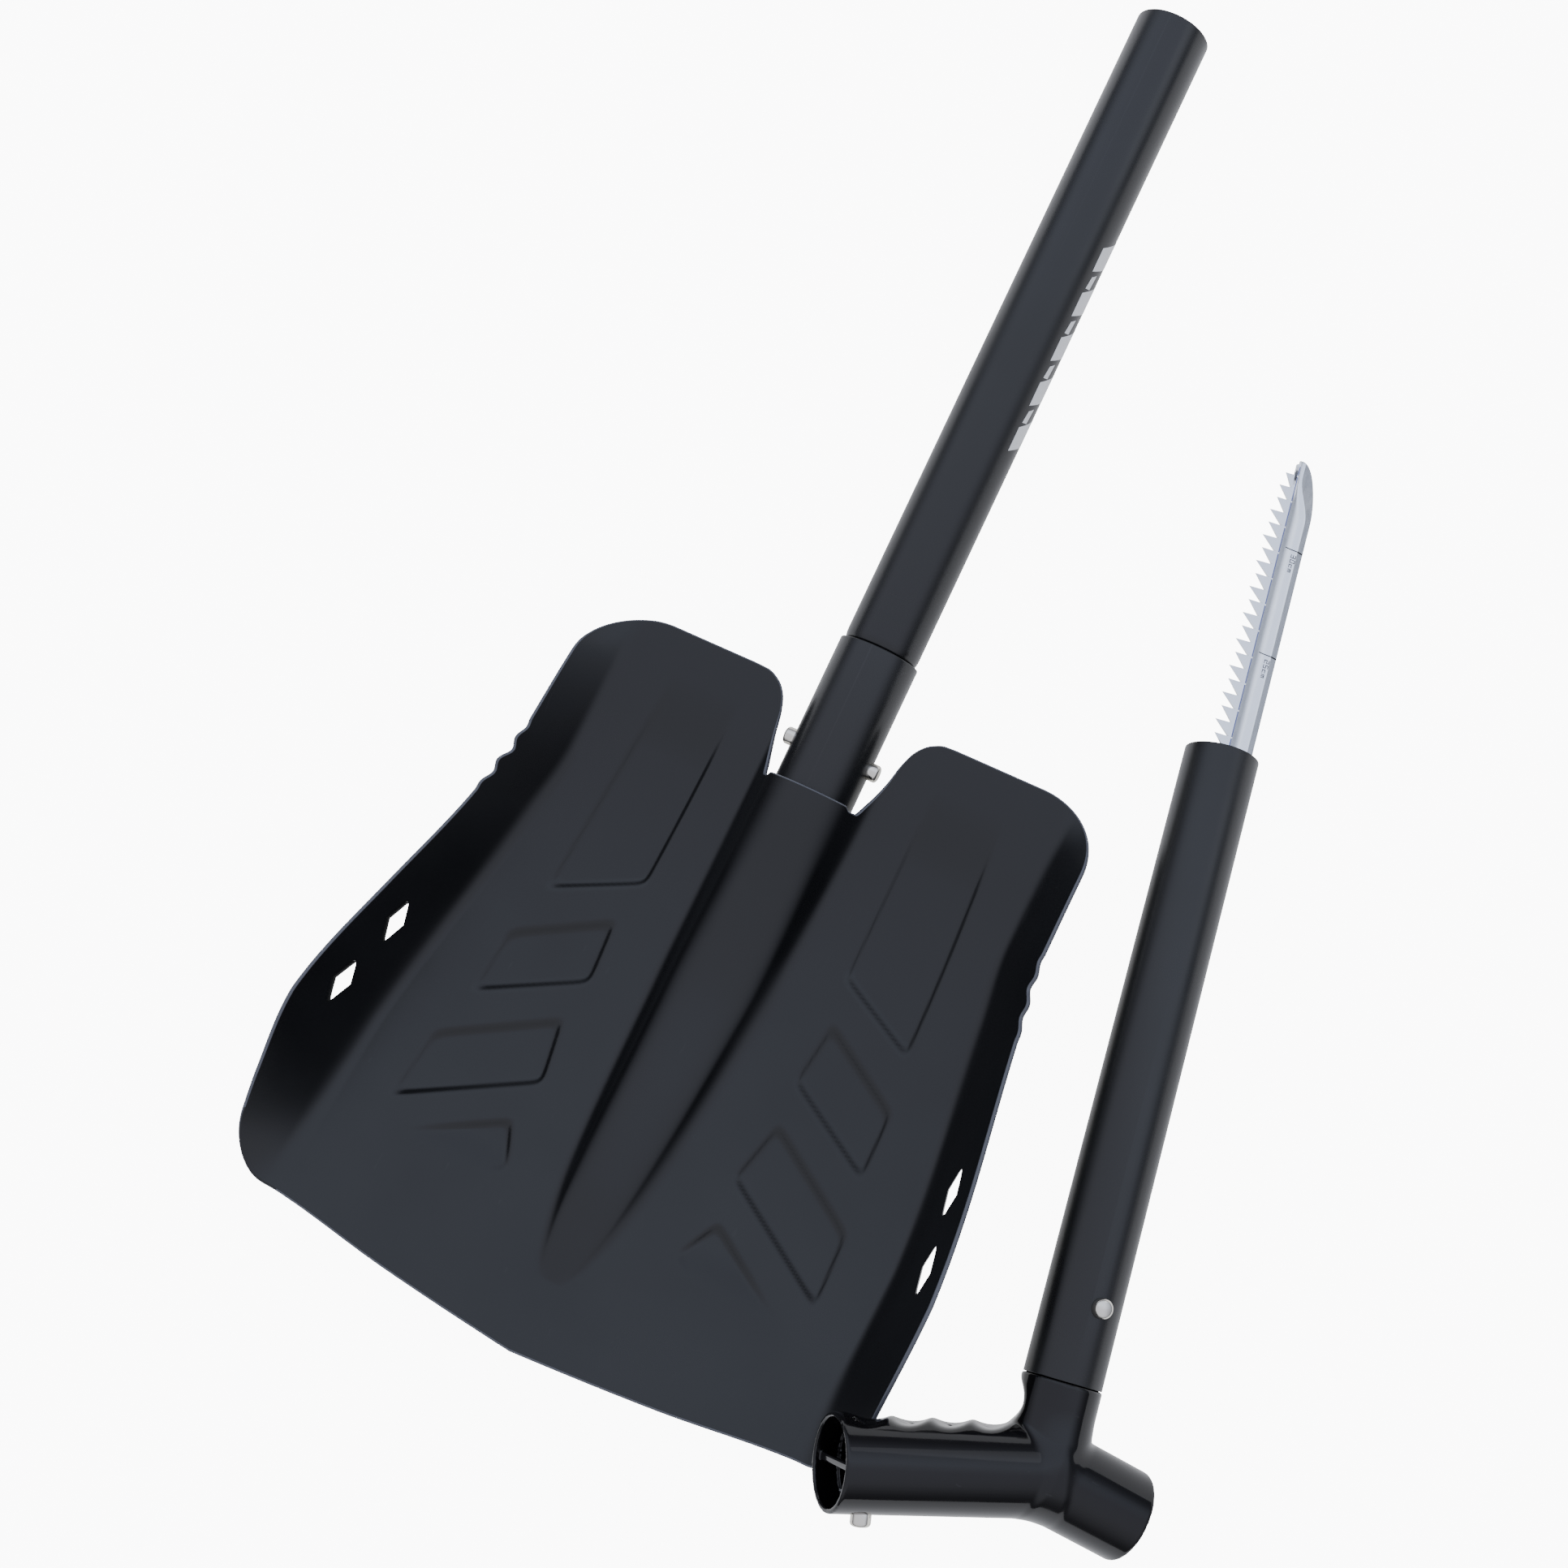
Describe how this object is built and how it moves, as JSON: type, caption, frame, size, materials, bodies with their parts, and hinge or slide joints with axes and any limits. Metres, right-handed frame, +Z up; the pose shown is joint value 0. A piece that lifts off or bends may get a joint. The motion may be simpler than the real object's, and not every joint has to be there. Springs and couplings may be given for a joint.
{
  "type": "avalanche shovel",
  "caption": "Collapsible snow shovel with a ribbed scoop blade, locking lower shaft and a separate handle unit whose grip carries a pull-out snow saw.",
  "frame": {"origin": "centre of the laid-out shovel's box, on the floor it lies on", "axes": "+Y along the lower shaft towards its open end, +X to the side where the handle unit lies, +Z up from the floor, the scoop's hollow facing up"},
  "size_m": [0.3965, 0.631, 0.131],
  "materials": {
    "blade_coat": "satin black anodised, soft blue-grey sheen",
    "tube_coat": "satin black anodised",
    "grip_plastic": "gloss black moulding",
    "nickel": "bright nickel plate",
    "spring_steel": "bare spring strip",
    "saw_metal": "polished with a blue-white sheen",
    "rivet_metal": "plain"
  },
  "bodies": {
    "blade_unit": {"blade": "blade_coat", "socket": "tube_coat", "socket_welds": "tube_coat"},
    "shaft": {"lower_shaft": "tube_coat", "lock_spring": "spring_steel"},
    "left_lock": {"left_lock_button": "nickel"},
    "right_lock": {"right_lock_button": "nickel"},
    "handle_tube": {"upper_shaft": "tube_coat"},
    "grip_and_saw": {"grip": "grip_plastic", "grip_spring": "spring_steel", "arm_spring": "spring_steel", "saw": "saw_metal", "saw_rivets": "rivet_metal"},
    "grip_lock": {"grip_button": "nickel"},
    "arm_lock": {"arm_button": "nickel"}
  },
  "joints": [
    {"name": "shaft_slide", "type": "slide", "parent": "blade_unit", "child": "shaft", "axis": [0, 1, 0], "range_m": [0, 0.09], "deforming": ["lock_spring", "left_lock_button", "right_lock_button"]},
    {"name": "left_lock_press", "type": "slide", "parent": "shaft", "child": "left_lock", "axis": [1, 0, 0], "range_m": [0, 0.0055], "stiffness_N_per_m": 900, "deforming": ["lock_spring"]},
    {"name": "right_lock_press", "type": "slide", "parent": "shaft", "child": "right_lock", "axis": [-1, 0, 0], "range_m": [0, 0.0055], "stiffness_N_per_m": 900, "deforming": ["lock_spring"]},
    {"name": "handle_lift", "type": "slide", "parent": "blade_unit", "child": "handle_tube", "axis": [0, 0, 1], "range_m": [0, 0.12]},
    {"name": "grip_slide", "type": "slide", "parent": "handle_tube", "child": "grip_and_saw", "axis": [0.1785, -0.9725, 0.1495], "range_m": [0, 0.41], "deforming": ["grip_spring", "grip_button"]},
    {"name": "grip_button_press", "type": "slide", "parent": "grip_and_saw", "child": "grip_lock", "axis": [-0.4684, -0.2176, -0.8563], "range_m": [0, 0.005], "stiffness_N_per_m": 900, "deforming": ["grip_spring"]},
    {"name": "arm_button_press", "type": "slide", "parent": "grip_and_saw", "child": "arm_lock", "axis": [-0.3439, 0.9377, -0.0502], "range_m": [0, 0.005], "stiffness_N_per_m": 900, "deforming": ["arm_spring"]}
  ]
}
